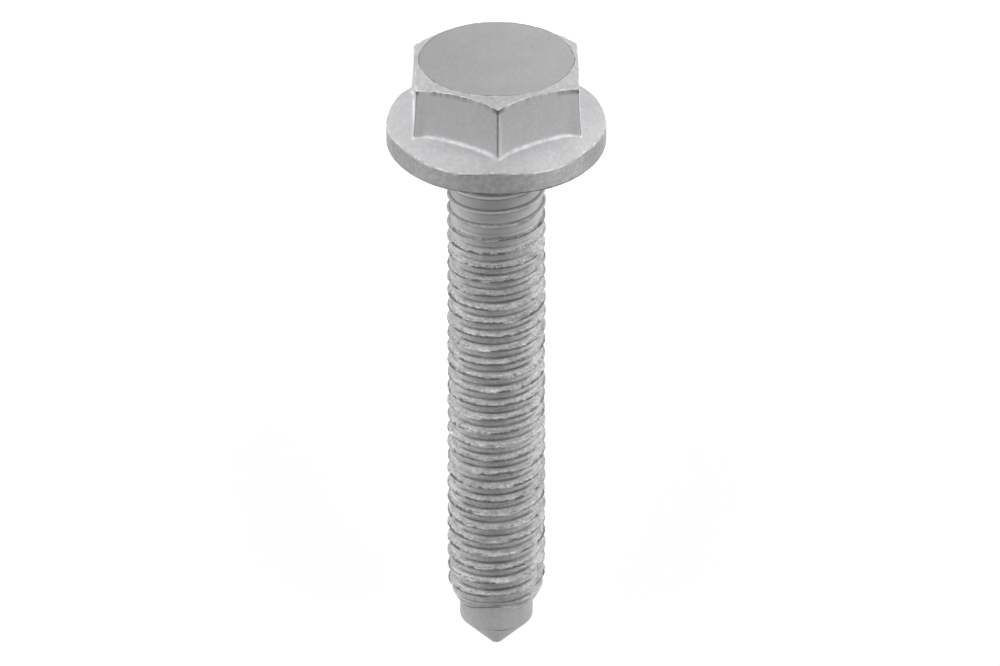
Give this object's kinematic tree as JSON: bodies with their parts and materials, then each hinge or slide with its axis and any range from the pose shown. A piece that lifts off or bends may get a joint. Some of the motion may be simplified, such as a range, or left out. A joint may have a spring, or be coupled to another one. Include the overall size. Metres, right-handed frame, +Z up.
{
  "type": "hex flange screw",
  "caption": "Hex flange screw with a coarse M8 thread right up to the flange, a short smooth pilot and a 45 degree cone point, in matt light-grey zinc-flake coating.",
  "frame": {"origin": "the middle of the footprint of the lying screw, on the floor", "axes": "+Z is up. The screw lies along Y with its head at +Y: its axis rises 6.8 degrees towards the head, because the rim of the flange and a crest near the tip are what it rests on. +X is across the screw"},
  "size_m": [0.0172, 0.0534, 0.0173],
  "materials": {
    "coated_steel": "matt light-grey zinc-flake coating over steel, even and slightly grainy, a little brighter where edges and crests are rubbed"
  },
  "bodies": {
    "root": {"screw": "coated_steel"}
  },
  "joints": []
}
